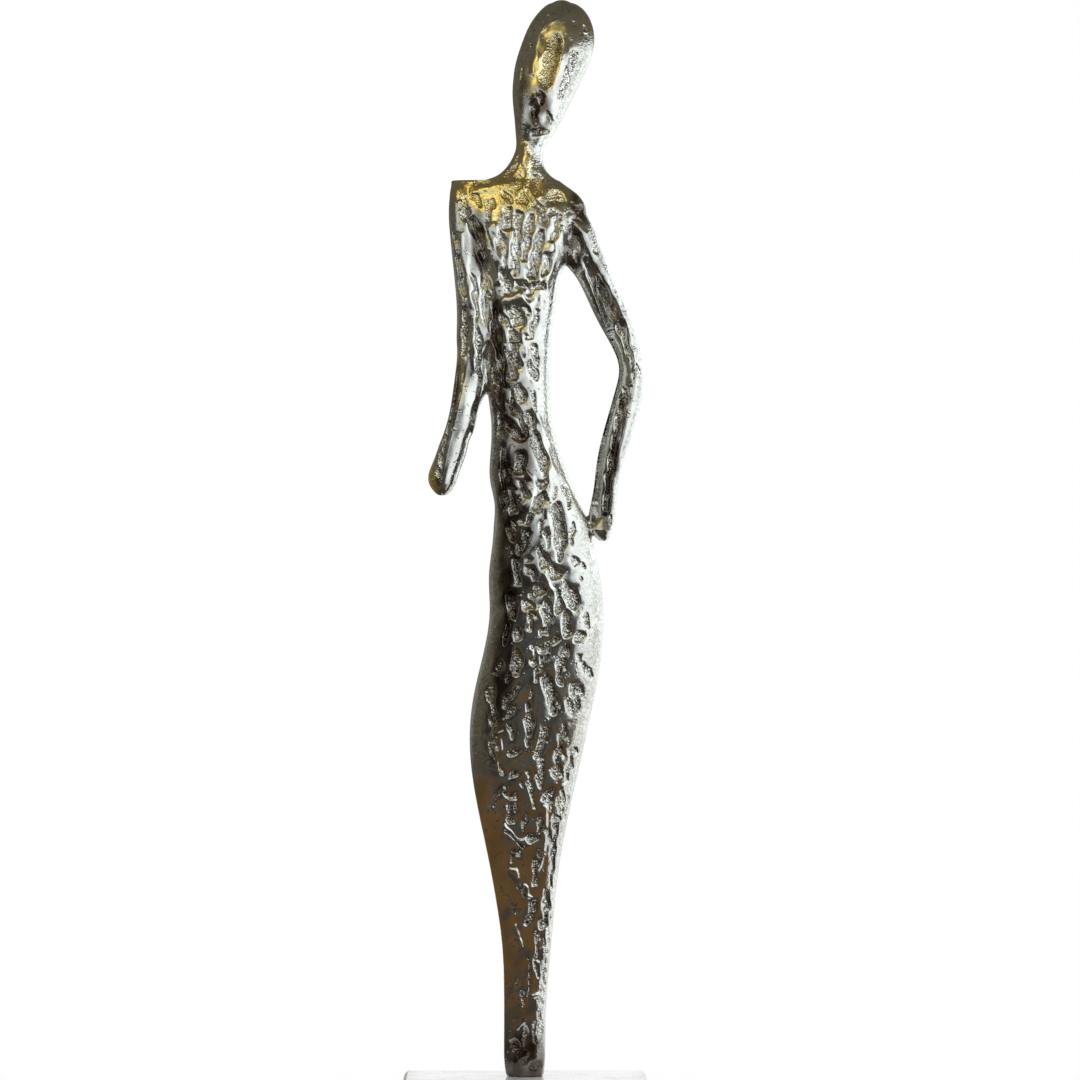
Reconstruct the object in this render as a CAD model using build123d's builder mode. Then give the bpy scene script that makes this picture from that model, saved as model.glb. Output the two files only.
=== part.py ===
"""Standing display figure: a slim sand-cast metal woman bolted to a stone block.

Frame: +Z up, +X to the figure's left hand (the raised elbow), -Y towards the front.
The origin is on the floor under the fixing stud. All lengths are millimetres.
"""

import os
from math import cos, pi, sin

from build123d import *

# ---------------------------------------------------------------- driving dimensions
figure_height = 600.0  # sole of the foot to the crown
figure_width = 120.5  # hanging hand to raised elbow
figure_thickness = 34.0  # deepest place, at the hips
front_share = 0.54  # share of the thickness that lies in front of the mould's parting plane
section_fullness = 2.5  # 2 is an ellipse, more is squarer

base_length = 136.0  # wider than the figure, so that the elbow is over the stone
base_depth = 90.0
base_height = 25.0
base_edge = 2.0  # chamfer round the top
base_corner = 3.0  # radius of the four upright corners

stud_radius = 3.0  # M6
stud_in_foot = 26.0
stud_past_nut = 2.0
thread_clearance = 0.05  # radial, stud in the foot and in the nut
base_hole_clearance = 0.3  # radial, stud in the stone

pin_radius = 1.5
pin_offset = 6.6  # from the stud, towards the hanging arm
pin_in_foot = 8.0
pin_share_of_stone = 0.7  # how far the pin goes into the stone above the pocket
pin_clearance = 0.03

recess_radius = 12.0  # pocket under the base for the nut
recess_spare = 2.3  # between the stud's end and the stone's underside
washer_bore_clearance = 0.2  # radial
gasket_radius = 9.5
gasket_thickness = 1.5
plain_washer_radius = 9.0
plain_washer_thickness = 1.6
spring_washer_radius = 5.9
spring_washer_thickness = 1.6
spring_washer_slit = 1.2
nut_across_flats = 10.0
nut_thickness = 5.0

foot_radius = 6.5  # rubber feet
foot_height = 3.0
foot_inset = 13.0  # centre of a rubber foot from the base's sides
foot_edge = 0.6

# ---------------------------------------------------------------- casting stations
# Each station is a level section: height above the sole, left edge, right edge, thickness.
# They are drawn for a casting of these overall sizes and scaled to the driving ones.
drawn_height = 600.0
drawn_width = 120.5
drawn_thickness = 34.0

body_stations = [
    (0, -10.3, 10.2, 18),
    (6, -11.4, 11.0, 19.5),
    (20, -11.8, 11.4, 20.5),
    (45, -11.8, 12.2, 21.5),
    (70, -12.6, 14.4, 22.5),
    (98, -16.2, 16.8, 24),
    (126, -21.4, 20.4, 26),
    (154, -27.2, 26.0, 28),
    (182, -30.8, 32.4, 30),
    (210, -29.2, 38.4, 32),
    (236, -23.4, 42.8, 34),
    (260, -19.8, 43.8, 34),
    (280, -20.2, 41.8, 33),
    (298, -18.2, 38.4, 31),
    (309, -17.4, 36.0, 30),
    (319, -17.0, 31.4, 28.5),
    (333, -19.6, 25.0, 26),
    (350, -19.2, 19.0, 24),
    (367, -19.0, 15.0, 22.5),
    (384, -21.2, 13.8, 22),
    (400, -22.6, 13.8, 22),
    (417, -23.2, 15.0, 23),
    (434, -23.6, 17.4, 25),
    (449, -25.4, 20.4, 27),
    (455, -27.2, 23.6, 27.5),
    (464, -30.5, 27.4, 28),
    (474, -36.0, 32.0, 27),
    (484, -41.0, 34.2, 25),
    (493, -42.0, 29.0, 22),
    (500.5, -41.4, 19.0, 18),
]

head_stations = [
    (494, -25.0, 22.0, 17),
    (502, -18.5, 15.8, 16.5),
    (506.5, -11.5, 11.6, 16),
    (512, -7.6, 9.9, 15),
    (518.5, -5.1, 11.2, 15.5),
    (526, -5.2, 15.6, 19),
    (535, -5.9, 20.8, 23),
    (545, -6.9, 25.8, 26.5),
    (556, -6.7, 31.2, 29),
    (567, -5.0, 36.1, 30),
    (577, -1.8, 38.6, 29),
    (585, 1.4, 38.2, 26.5),
    (591, 4.9, 36.2, 22.5),
    (595.5, 8.6, 33.2, 17.5),
    (598.6, 12.2, 29.4, 11),
    (600, 16.5, 24.5, 5),
]

hanging_arm_stations = [
    (324.5, -48.4, -44.6, 5),
    (326.5, -50.8, -41.8, 8.5),
    (329.5, -53.0, -39.6, 11),
    (334, -54.2, -37.8, 12.5),
    (342, -52.0, -35.0, 13.5),
    (350, -49.0, -32.4, 14),
    (358.5, -45.8, -29.6, 14),
    (367, -43.2, -27.0, 14.5),
    (376, -41.3, -24.6, 15),
    (382, -40.4, -21.6, 15.3),
    (391, -39.2, -19.8, 15.5),
    (406, -38.0, -19.2, 16),
    (423, -38.1, -19.6, 17),
    (440, -38.9, -21.0, 18),
    (456, -40.5, -23.6, 19),
    (473, -42.2, -26.0, 20),
    (487, -42.5, -28.6, 19),
    (496, -41.6, -31.0, 16),
]

bent_arm_stations = [
    (299, 42.0, 45.6, 5),
    (301.5, 39.0, 47.6, 9),
    (305.5, 36.2, 49.0, 12),
    (312, 35.4, 50.2, 13),
    (325, 37.8, 51.6, 13),
    (342, 40.0, 54.8, 13.5),
    (358.5, 43.4, 60.0, 14),
    (372, 47.2, 64.4, 14.5),
    (384, 50.6, 66.2, 15),
    (395, 52.6, 66.3, 15),
    (404, 50.4, 65.4, 15),
    (415, 44.4, 62.2, 15.5),
    (428.5, 37.4, 57.2, 16),
    (441, 31.6, 51.4, 17),
    (448, 27.4, 48.6, 17.5),
    (454, 22.4, 46.2, 18),
    (465, 18.0, 42.0, 19.5),
    (475, 16.0, 38.0, 20),
    (484, 13.0, 33.0, 19),
]

# ---------------------------------------------------------------- levels up the stack
washers_thickness = gasket_thickness + plain_washer_thickness + spring_washer_thickness
recess_depth = washers_thickness + nut_thickness + stud_past_nut + recess_spare
base_bottom = foot_height
base_top = base_bottom + base_height
pin_in_base = pin_share_of_stone * (base_height - recess_depth)
recess_top = base_bottom + recess_depth
gasket_bottom = recess_top - gasket_thickness
plain_washer_bottom = gasket_bottom - plain_washer_thickness
spring_washer_bottom = plain_washer_bottom - spring_washer_thickness
nut_bottom = spring_washer_bottom - nut_thickness
stud_bottom = nut_bottom - stud_past_nut
stud_top = base_top + stud_in_foot

tapped_radius = stud_radius + thread_clearance
washer_bore_radius = stud_radius + washer_bore_clearance
pin_hole_radius = pin_radius + pin_clearance
points_per_section = 14

width_scale = figure_width / drawn_width
height_scale = figure_height / drawn_height
thickness_scale = figure_thickness / drawn_thickness


def section_points(left, right, thickness):
    """Points round one level section: a full oval, deeper in front than behind."""
    middle = (left + right) / 2
    half_width = (right - left) / 2
    for step in range(points_per_section):
        angle = 2 * pi * step / points_per_section
        across = cos(angle)
        deep = sin(angle)
        share = front_share if deep < 0 else 1 - front_share
        x = abs(across) ** (2 / section_fullness) * (1 if across > 0 else -1)
        y = abs(deep) ** (2 / section_fullness) * (1 if deep > 0 else -1)
        yield (
            (middle + half_width * x) * width_scale,
            thickness * share * y * thickness_scale,
        )


def finish(part, label):
    """Name a finished piece and write it to its own file."""
    part.label = label
    export_step(part, f"parts/{label}.step")


os.makedirs("parts", exist_ok=True)

# ---------------------------------------------------------------- figure casting
blanks = []
for stations in (body_stations, head_stations, hanging_arm_stations, bent_arm_stations):
    with BuildPart() as blank:
        for height, left, right, thickness in stations:
            with BuildSketch(Plane.XY.offset(base_top + height * height_scale)):
                with BuildLine():
                    Spline(*section_points(left, right, thickness), periodic=True)
                make_face()
        loft()
    blanks.append(blank.part)

with BuildPart() as figure_casting:
    add(blanks)
    with BuildSketch(Plane.XY.offset(base_top)):
        Circle(tapped_radius)
    extrude(amount=stud_in_foot + stud_past_nut, mode=Mode.SUBTRACT)
    with BuildSketch(Plane.XY.offset(base_top)):
        with Locations((-pin_offset, 0)):
            Circle(pin_hole_radius)
    extrude(amount=pin_in_foot + pin_clearance, mode=Mode.SUBTRACT)

# ---------------------------------------------------------------- stone base
with BuildPart() as base_block:
    with BuildSketch(Plane.XY.offset(base_bottom)):
        RectangleRounded(base_length, base_depth, base_corner)
    extrude(amount=base_height)
    chamfer(base_block.faces().sort_by(Axis.Z)[-1].edges(), base_edge)
    with BuildSketch(Plane.XY.offset(base_bottom)):
        Circle(recess_radius)
    extrude(amount=recess_depth, mode=Mode.SUBTRACT)
    with BuildSketch(Plane.XY.offset(recess_top)):
        Circle(stud_radius + base_hole_clearance)
    extrude(amount=base_top - recess_top, mode=Mode.SUBTRACT)
    with BuildSketch(Plane.XY.offset(base_top)):
        with Locations((-pin_offset, 0)):
            Circle(pin_hole_radius)
    extrude(amount=-(pin_in_base + pin_clearance), mode=Mode.SUBTRACT)

# ---------------------------------------------------------------- fixings
with BuildPart() as fixing_stud:
    with BuildSketch(Plane.XY.offset(stud_bottom)):
        Circle(stud_radius)
    extrude(amount=stud_top - stud_bottom)
    chamfer(fixing_stud.edges().filter_by(GeomType.CIRCLE), stud_radius / 5)

with BuildPart() as locating_pin:
    with BuildSketch(Plane.XY.offset(base_top - pin_in_base)):
        with Locations((-pin_offset, 0)):
            Circle(pin_radius)
    extrude(amount=pin_in_base + pin_in_foot)
    chamfer(locating_pin.edges().filter_by(GeomType.CIRCLE), pin_radius / 4)

with BuildPart() as stone_gasket:
    with BuildSketch(Plane.XY.offset(gasket_bottom)):
        Circle(gasket_radius)
        Circle(washer_bore_radius, mode=Mode.SUBTRACT)
    extrude(amount=gasket_thickness)

with BuildPart() as plain_washer:
    with BuildSketch(Plane.XY.offset(plain_washer_bottom)):
        Circle(plain_washer_radius)
        Circle(washer_bore_radius, mode=Mode.SUBTRACT)
    extrude(amount=plain_washer_thickness)
    outer_rims = plain_washer.edges().filter_by(GeomType.CIRCLE).group_by(SortBy.RADIUS)[-1]
    chamfer(outer_rims, plain_washer_thickness / 5)

with BuildPart() as spring_washer:
    with BuildSketch(Plane.XY.offset(spring_washer_bottom)):
        Circle(spring_washer_radius)
        Circle(washer_bore_radius, mode=Mode.SUBTRACT)
        with Locations((spring_washer_radius, 0)):
            Rectangle(
                2 * (spring_washer_radius - washer_bore_radius) + spring_washer_slit,
                spring_washer_slit,
                rotation=35,
                mode=Mode.SUBTRACT,
            )
    extrude(amount=spring_washer_thickness)

with BuildPart() as hex_nut:
    with BuildSketch(Plane.XY.offset(nut_bottom)):
        RegularPolygon(nut_across_flats / 2, side_count=6, major_radius=False)
    extrude(amount=nut_thickness)
    with BuildSketch(Plane.XY.offset(nut_bottom)):
        Circle(nut_across_flats / 2 * 0.98)
    extrude(amount=nut_thickness, taper=-60, mode=Mode.INTERSECT)
    with BuildSketch(Plane.XY.offset(nut_bottom)):
        Circle(tapped_radius)
    extrude(amount=nut_thickness, mode=Mode.SUBTRACT)
    bore_rims = hex_nut.edges().filter_by(GeomType.CIRCLE).group_by(SortBy.RADIUS)[0]
    chamfer(bore_rims, (spring_washer_radius - stud_radius) / 6)

# ---------------------------------------------------------------- rubber feet
foot_x = base_length / 2 - foot_inset
foot_y = base_depth / 2 - foot_inset
foot_places = {
    "rubber_foot_front_left": (-foot_x, -foot_y),
    "rubber_foot_front_right": (foot_x, -foot_y),
    "rubber_foot_back_left": (-foot_x, foot_y),
    "rubber_foot_back_right": (foot_x, foot_y),
}

for foot_name, place in foot_places.items():
    with BuildPart() as rubber_foot:
        with BuildSketch(Plane.XY):
            with Locations(place):
                Circle(foot_radius)
        extrude(amount=foot_height)
        fillet(rubber_foot.faces().sort_by(Axis.Z)[0].edges(), foot_edge)
    finish(rubber_foot.part, foot_name)

finish(figure_casting.part, "figure_casting")
finish(base_block.part, "base_block")
finish(fixing_stud.part, "fixing_stud")
finish(locating_pin.part, "locating_pin")
finish(stone_gasket.part, "stone_gasket")
finish(plain_washer.part, "plain_washer")
finish(spring_washer.part, "spring_washer")
finish(hex_nut.part, "hex_nut")
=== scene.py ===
"""Standing display figure: a slim cast-metal woman bolted to a polished stone block on rubber feet."""

import math

import bpy
import numpy as np
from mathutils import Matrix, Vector


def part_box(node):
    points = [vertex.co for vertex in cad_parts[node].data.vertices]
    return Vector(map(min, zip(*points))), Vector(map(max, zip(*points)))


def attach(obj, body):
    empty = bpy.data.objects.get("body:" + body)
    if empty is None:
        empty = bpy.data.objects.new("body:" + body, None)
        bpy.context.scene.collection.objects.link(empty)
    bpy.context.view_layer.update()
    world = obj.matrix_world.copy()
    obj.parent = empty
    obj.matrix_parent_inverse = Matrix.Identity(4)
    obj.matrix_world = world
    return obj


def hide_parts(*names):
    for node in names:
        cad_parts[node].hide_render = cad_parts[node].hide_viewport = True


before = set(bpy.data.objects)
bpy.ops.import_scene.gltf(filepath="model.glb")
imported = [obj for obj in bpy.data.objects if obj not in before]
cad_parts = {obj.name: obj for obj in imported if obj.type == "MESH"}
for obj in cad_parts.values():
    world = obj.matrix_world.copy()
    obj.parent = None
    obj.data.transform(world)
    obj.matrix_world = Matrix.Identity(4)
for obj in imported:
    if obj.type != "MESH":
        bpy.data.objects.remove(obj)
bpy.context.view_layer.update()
mm = 0.001


# ---------------------------------------------------------------- camera
# A long lens a few metres in front of the figure, level with its middle,
# close enough to fill the height of the picture from the sole to the crown.
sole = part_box("figure_casting")[0].z
lens_distance = 4.0
picture_height = 603.6 * mm
picture_middle = Vector((8.4 * mm, 0, sole + 299.6 * mm))

camera_data = bpy.data.cameras.new("camera")
camera_data.sensor_width = 36
camera_data.lens = camera_data.sensor_width * lens_distance / picture_height
camera_data.clip_end = 50
camera = bpy.data.objects.new("camera", camera_data)
camera.location = picture_middle - Vector((0, lens_distance, 0))
camera.rotation_euler = (math.radians(90), 0, 0)
bpy.context.scene.collection.objects.link(camera)
bpy.context.scene.camera = camera


# ---------------------------------------------------------------- figure casting
# One piece of bright light metal, sand-cast and then ground along its edge and polished on
# its ridges. Its maker pressed hollows and drew ridges into the pattern, and the hollows
# keep the rough skin of the sand. The stud and the pin below hold it to the stone.
voxel = 0.62 * mm
final_triangles = 194000
wobble = 1.25  # how far, in mm, the outline of a hollow wanders
wobble_length = 8.0  # mm
narrowed = 0.84  # a hollow's full width is at the top of its rounded rim
deepened = 1.1  # how much deeper than listed the hollows are pressed
bowl_share = 0.78  # of a hollow's depth, what its bowl takes
rim_share = 0.30  # of a hollow's depth, what the soft shoulder round it takes
rim_reach = 1.7  # half widths from the line to where the shoulder ends
ridge_gain = 1.35  # how much higher than listed the ridges stand
ridge_spread = 1.15  # how much wider than listed they are
lopsided = 0.85  # how much deeper a hollow is on its right and lower side
narrow_end = 0.55  # the least share of its width that a hollow keeps at an end
grain_depth = 0.22  # mm, the coarsest sand grain in the hollows
neck_level = 515  # mm above the sole; the head's hollows are steadier than the rest


def copy_of(node, name):
    """A mesh copy of a CAD node with its loose triangles merged."""
    bpy.ops.object.select_all(action="DESELECT")
    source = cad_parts[node]
    piece = bpy.data.objects.new(name, source.data.copy())
    bpy.context.scene.collection.objects.link(piece)
    piece.data.materials.clear()
    bpy.context.view_layer.objects.active = piece
    piece.select_set(True)
    bpy.ops.object.mode_set(mode="EDIT")
    bpy.ops.mesh.select_all(action="SELECT")
    bpy.ops.mesh.remove_doubles(threshold=0.02 * mm)
    bpy.ops.object.mode_set(mode="OBJECT")
    return piece


def apply_modifier(piece, kind, **values):
    """Add one modifier to a piece and apply it."""
    bpy.ops.object.select_all(action="DESELECT")
    bpy.context.view_layer.objects.active = piece
    piece.select_set(True)
    modifier = piece.modifiers.new(kind.title(), kind)
    for name, value in values.items():
        setattr(modifier, name, value)
    bpy.ops.object.modifier_apply(modifier=modifier.name)


def places(piece):
    """Where the piece's vertices are, as an array."""
    co = np.zeros(len(piece.data.vertices) * 3, np.float32)
    piece.data.vertices.foreach_get("co", co)
    return co.reshape(-1, 3).astype(float)


def facing(piece):
    """The vertex normals of a piece, as an array."""
    normal = np.zeros(len(piece.data.vertices) * 3, np.float32)
    piece.data.vertex_normals.foreach_get("vector", normal)
    return normal.reshape(-1, 3).astype(float)


# Hollows of the front: width, depth, then the line each was pressed along, as pairs of
# (across from the stud's axis, height above the sole), all in mm.
head_hollows = [
    (13.5, 2.3, (17.0, 577), (14.5, 566), (12.0, 556)),
    (7.0, 0.5, (27.5, 571), (23.5, 558), (19.5, 546)),
    (4.5, 1.5, (8.5, 549), (10.0, 543)),
    (6.0, 1.9, (5.5, 541), (5.0, 536), (6.0, 531)),
    (5.5, 0.9, (12.5, 537), (14.0, 533)),
    (4.6, 1.1, (5.0, 526), (9.0, 527.5), (13.0, 527)),
    (3.2, 0.6, (12.5, 591.5), (13.0, 591)),
    (2.8, 0.5, (16.0, 593), (16.5, 592)),
    (3.4, 0.5, (33.0, 586), (34.0, 580)),
    (2.6, 0.4, (27.0, 588), (28.0, 586)),
    (3.0, 0.5, (31.0, 566), (28.5, 559)),
    (2.4, 0.5, (-1.0, 562), (-2.0, 556)),
    (2.2, 0.4, (3.0, 576), (3.5, 573)),
]
shoulder_hollows = [
    (8.0, 1.4, (6.0, 501), (7.5, 494)),
    (10.5, 1.3, (15.5, 492), (19.5, 488)),
    (6.0, 0.8, (-4.0, 512), (-8.0, 505), (-15.0, 501)),
    (5.0, 0.9, (-3.5, 502), (-3.5, 497)),
    (4.0, 1.6, (1.5, 493), (8.5, 485), (11.5, 478)),
    (8.5, 1.4, (-35.0, 486), (-33.5, 480)),
    (6.5, 1.3, (-19.0, 489), (-20.5, 481)),
    (5.5, 0.9, (-28.0, 492), (-25.5, 487)),
    (6.0, 1.0, (-13.0, 493), (-8.5, 489)),
    (5.0, 0.7, (-26.0, 499), (-20.0, 499)),
    (6.0, 0.7, (27.0, 487), (31.0, 482)),
    (6.0, 0.8, (14.0, 482), (18.5, 480)),
    (4.5, 0.7, (27.5, 479), (30.0, 477.5)),
]
chest_hollows = [
    (7.5, 2.4, (-30.0, 477), (-26.5, 470), (-24.5, 463)),
    (5.6, 2.2, (-24.0, 462), (-23.0, 452), (-20.5, 442)),
    (5.5, 1.6, (-20.0, 441), (-18.5, 435.5)),
    (7.5, 1.6, (-9.5, 482), (-9.0, 474.5)),
    (7.0, 1.0, (-14.5, 470), (-12.0, 463)),
    (6.0, 0.8, (-11.5, 461), (-11.0, 455)),
    (8.5, 1.3, (-13.0, 448), (-9.5, 438)),
    (7.0, 2.0, (-3.5, 481), (-4.5, 465), (-5.5, 449)),
    (7.5, 2.0, (2.5, 478), (1.0, 468), (-1.0, 457)),
    (8.0, 2.1, (8.5, 471), (5.5, 458), (3.0, 446)),
    (8.0, 1.4, (-3.5, 442), (2.0, 440), (7.5, 441)),
    (5.0, 1.3, (17.5, 477), (15.5, 468)),
    (5.5, 1.5, (12.5, 459), (11.0, 448)),
    (3.5, 0.9, (-21.5, 478), (-20.0, 466)),
    (13.0, 2.2, (25.0, 473), (28.5, 463), (27.0, 452)),
    (6.0, 0.9, (0.0, 487), (-2.5, 491)),
]
waist_hollows = [
    (13.5, 1.5, (-6.5, 427.5), (-3.5, 424.5)),
    (4.5, 1.3, (-12.5, 425), (-10.5, 419.5)),
    (4.5, 1.3, (-8.5, 419), (-6.5, 412)),
    (7.5, 2.0, (-6.5, 407), (-6.0, 391)),
    (4.6, 1.1, (7.5, 427), (2.5, 412)),
    (5.0, 0.9, (4.5, 407), (6.5, 398)),
    (5.5, 0.8, (2.0, 398), (6.5, 389)),
    (9.0, 1.1, (-3.5, 383), (-1.0, 377)),
    (3.4, 0.8, (4.5, 381), (6.0, 373)),
    (5.0, 2.6, (-17.0, 428), (-17.5, 412), (-13.0, 400), (-11.5, 386)),
    (4.6, 1.5, (-15.0, 420), (-14.0, 407)),
    (5.5, 1.1, (-16.5, 398), (-16.5, 388)),
    (5.5, 1.3, (-14.5, 386), (-14.5, 378)),
    (4.4, 1.1, (-9.5, 375), (-6.0, 370)),
    (4.5, 2.2, (-8.0, 383), (-6.5, 374), (-1.5, 366), (1.0, 358)),
    (6.0, 1.5, (-13.0, 367), (-6.0, 360.5)),
    (9.0, 1.9, (-4.5, 358), (-1.5, 357)),
    (8.0, 1.8, (2.0, 368), (5.0, 357), (8.5, 346), (11.0, 338)),
    (8.5, 2.1, (-2.5, 346), (-3.0, 339)),
    (4.0, 1.2, (-9.5, 339), (-7.5, 338)),
    (7.0, 1.5, (8.0, 332), (10.5, 331)),
    (5.6, 1.7, (-2.0, 332), (0.5, 325)),
    (6.0, 1.7, (-7.5, 327), (-6.5, 316)),
    (7.0, 2.1, (10.0, 326), (6.0, 317), (1.5, 310)),
    (4.5, 2.6, (-12.5, 352), (-12.0, 338), (-11.5, 318)),
    (4.5, 1.6, (-14.0, 372), (-13.5, 358)),
    (7.0, 1.4, (-7.0, 309), (-6.5, 301)),
    (4.0, 0.8, (-1.5, 311), (-3.0, 309)),
    (2.4, 0.8, (17.0, 330), (16.0, 324)),
    (9.5, 2.4, (17.0, 317), (19.5, 306), (20.0, 297)),
    (6.0, 2.0, (19.5, 296), (18.5, 290)),
    (4.0, 0.9, (26.0, 309), (26.0, 298)),
    (4.0, 0.5, (21.5, 331), (25.0, 318)),
    (4.0, 0.7, (9.0, 309), (9.0, 304)),
    (3.0, 1.4, (11.5, 303), (12.5, 296)),
]
hip_hollows = [
    (5.5, 1.8, (2.0, 304), (-2.0, 295), (-3.5, 291)),
    (5.5, 1.8, (-4.5, 289), (-5.0, 282), (-3.5, 276)),
    (7.5, 1.7, (8.0, 293), (12.0, 286.5)),
    (6.0, 1.6, (1.5, 284), (5.0, 279.5)),
    (4.0, 1.0, (1.5, 290), (3.0, 288.5)),
    (10.0, 2.0, (15.5, 282), (19.0, 281)),
    (6.0, 1.3, (26.5, 288), (28.5, 287)),
    (3.2, 1.0, (31.0, 287), (32.5, 284)),
    (3.6, 0.9, (30.0, 278), (31.0, 277.5)),
    (10.5, 2.1, (23.5, 274), (26.5, 265)),
    (6.5, 1.6, (18.5, 268), (19.0, 262)),
    (10.0, 2.1, (5.0, 270), (10.0, 272)),
    (6.0, 1.4, (0.5, 265), (4.0, 262)),
    (8.0, 2.4, (-8.5, 271), (-7.5, 263), (-6.5, 257)),
    (6.5, 1.7, (12.0, 264), (13.0, 255), (9.5, 247)),
    (7.0, 1.0, (3.5, 258), (2.0, 251)),
    (6.0, 2.0, (-4.0, 251), (-4.5, 244.5)),
    (4.5, 2.0, (-9.5, 252), (-11.0, 243)),
    (8.0, 1.9, (22.5, 257), (23.5, 248)),
    (6.0, 1.4, (28.0, 244), (32.0, 247)),
    (5.0, 0.8, (33.5, 257), (35.5, 251)),
    (6.4, 1.8, (4.5, 239.5), (11.0, 240), (18.5, 245)),
    (5.0, 1.4, (5.5, 237), (5.0, 232)),
    (3.4, 2.4, (9.5, 233), (14.0, 238)),
]
skirt_hollows = [
    (9.0, 1.9, (-4.5, 237), (-5.5, 227)),
    (4.5, 1.6, (-8.0, 225), (-9.5, 221)),
    (8.0, 1.9, (22.5, 240), (19.5, 231), (19.0, 222)),
    (7.0, 1.2, (33.5, 229), (36.0, 224)),
    (3.4, 0.8, (30.0, 235), (29.5, 231)),
    (5.4, 1.2, (-13.5, 230), (-16.0, 226)),
    (5.5, 1.4, (-3.5, 219), (-8.5, 213), (-12.0, 208)),
    (4.0, 1.5, (11.5, 234), (7.5, 228), (5.5, 222)),
    (9.0, 2.3, (12.0, 223), (14.5, 214), (16.0, 205)),
    (10.0, 1.7, (29.0, 218), (26.5, 204)),
    (5.5, 1.0, (-18.5, 218), (-19.5, 210)),
    (4.0, 0.9, (2.0, 212), (4.0, 216)),
    (6.6, 1.9, (2.5, 206), (2.0, 191)),
    (3.0, 0.9, (0.5, 189), (2.5, 185)),
    (5.5, 1.3, (-9.0, 203), (-5.5, 206.5)),
    (4.5, 1.1, (-8.5, 197), (-7.5, 190)),
    (6.5, 1.3, (-17.5, 208), (-17.0, 197)),
    (5.0, 0.9, (-18.0, 191), (-19.0, 182)),
    (4.0, 0.8, (-15.0, 192), (-17.5, 178)),
    (7.0, 1.1, (-8.0, 181), (-4.0, 183)),
    (5.8, 1.6, (12.5, 197), (9.5, 188), (6.5, 180)),
    (6.4, 1.7, (22.5, 197), (19.0, 185), (17.0, 168)),
    (5.5, 1.3, (27.0, 183), (24.5, 172), (23.5, 166)),
    (4.5, 1.1, (-14.0, 175), (-12.5, 171)),
    (5.0, 0.8, (-7.5, 168), (-3.0, 171)),
    (3.0, 0.8, (0.5, 171), (3.5, 162), (5.0, 151)),
    (4.2, 1.3, (9.5, 178), (8.0, 163)),
    (3.4, 0.9, (-2.5, 165), (-1.5, 163)),
    (5.4, 1.2, (10.5, 154.5), (15.0, 160)),
    (4.4, 1.2, (-11.0, 158), (-5.5, 157), (-5.0, 150), (-6.5, 144)),
    (4.4, 1.9, (-8.5, 153), (-8.5, 143)),
    (3.0, 1.0, (-18.5, 151), (-14.0, 157), (-10.0, 160.5)),
    (5.0, 1.6, (1.5, 132), (5.0, 134), (10.0, 139)),
    (3.0, 1.2, (-10.5, 136.5), (-5.0, 133), (0.0, 129)),
    (4.4, 1.3, (21.0, 159), (20.0, 149), (16.0, 140)),
    (3.4, 0.8, (24.5, 158), (22.5, 143)),
    (5.4, 0.9, (-3.5, 127), (-7.0, 121.5)),
    (4.0, 0.8, (12.0, 137), (15.0, 131)),
    (4.5, 0.9, (9.0, 126), (5.0, 117), (6.0, 108)),
    (4.0, 0.7, (0.0, 146), (-1.0, 138)),
    (4.0, 0.7, (8.0, 146), (8.5, 138)),
]
leg_hollows = [
    (3.0, 1.0, (-3.5, 107.5), (0.5, 101.5)),
    (5.5, 1.4, (5.5, 98), (3.5, 91), (0.5, 86.5)),
    (1.8, 0.4, (-9.5, 101), (-6.5, 91), (-2.0, 94)),
    (2.4, 0.5, (6.0, 82), (6.5, 75)),
    (4.2, 1.2, (12.0, 104), (12.0, 93), (9.0, 83)),
    (4.0, 0.8, (14.0, 77), (10.5, 63)),
    (2.2, 0.5, (1.0, 67), (2.5, 60), (3.0, 53), (1.0, 46)),
    (3.0, 0.6, (-4.5, 54), (-5.5, 50.5)),
    (3.4, 0.7, (-1.0, 47), (-1.5, 40)),
    (3.0, 0.8, (7.0, 43.5), (10.0, 41)),
    (4.0, 0.6, (8.5, 36), (9.0, 24)),
    (3.4, 0.7, (0.5, 28), (-0.5, 17)),
    (3.0, 0.6, (5.0, 30), (5.5, 20)),
    (2.6, 1.1, (19.0, 150), (15.8, 126), (14.2, 108)),
    (2.4, 0.9, (7.5, 79), (6.5, 66), (6.0, 57)),
    (3.4, 0.8, (16.5, 100), (15.5, 84)),
    (2.6, 0.7, (11.5, 58), (10.5, 47)),
    (6.0, 0.9, (-5.5, 20), (-4.0, 12)),
    (5.0, 0.7, (3.0, 7), (8.0, 6)),
]
arm_hollows = [
    (4.0, 2.2, (-38.5, 471), (-37.0, 455), (-34.5, 437)),
    (4.5, 1.6, (-33.5, 428), (-33.5, 416), (-33.5, 404)),
    (3.6, 1.2, (-28.5, 446), (-27.0, 425), (-26.0, 405), (-25.5, 388)),
    (4.5, 1.2, (-36.0, 396), (-38.5, 383), (-42.5, 366), (-47.0, 344), (-48.5, 336)),
    (3.0, 0.8, (-26.5, 402), (-27.0, 392)),
    (3.0, 0.9, (36.5, 466), (39.0, 460)),
    (2.4, 0.7, (43.5, 455), (44.5, 453)),
    (2.0, 0.6, (47.0, 448), (47.6, 446.5)),
    (4.8, 2.0, (39.5, 447), (44.5, 436), (49.0, 424)),
    (2.6, 0.9, (53.0, 437), (56.0, 428)),
    (4.0, 1.9, (52.0, 420), (56.5, 408), (58.5, 399)),
    (3.0, 0.8, (62.5, 399), (62.0, 389)),
    (4.6, 2.2, (56.5, 384), (52.5, 368), (49.5, 352)),
    (4.4, 2.4, (49.0, 349), (46.5, 334), (45.0, 318)),
    (3.4, 1.0, (47.0, 313), (46.5, 306)),
]
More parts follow.
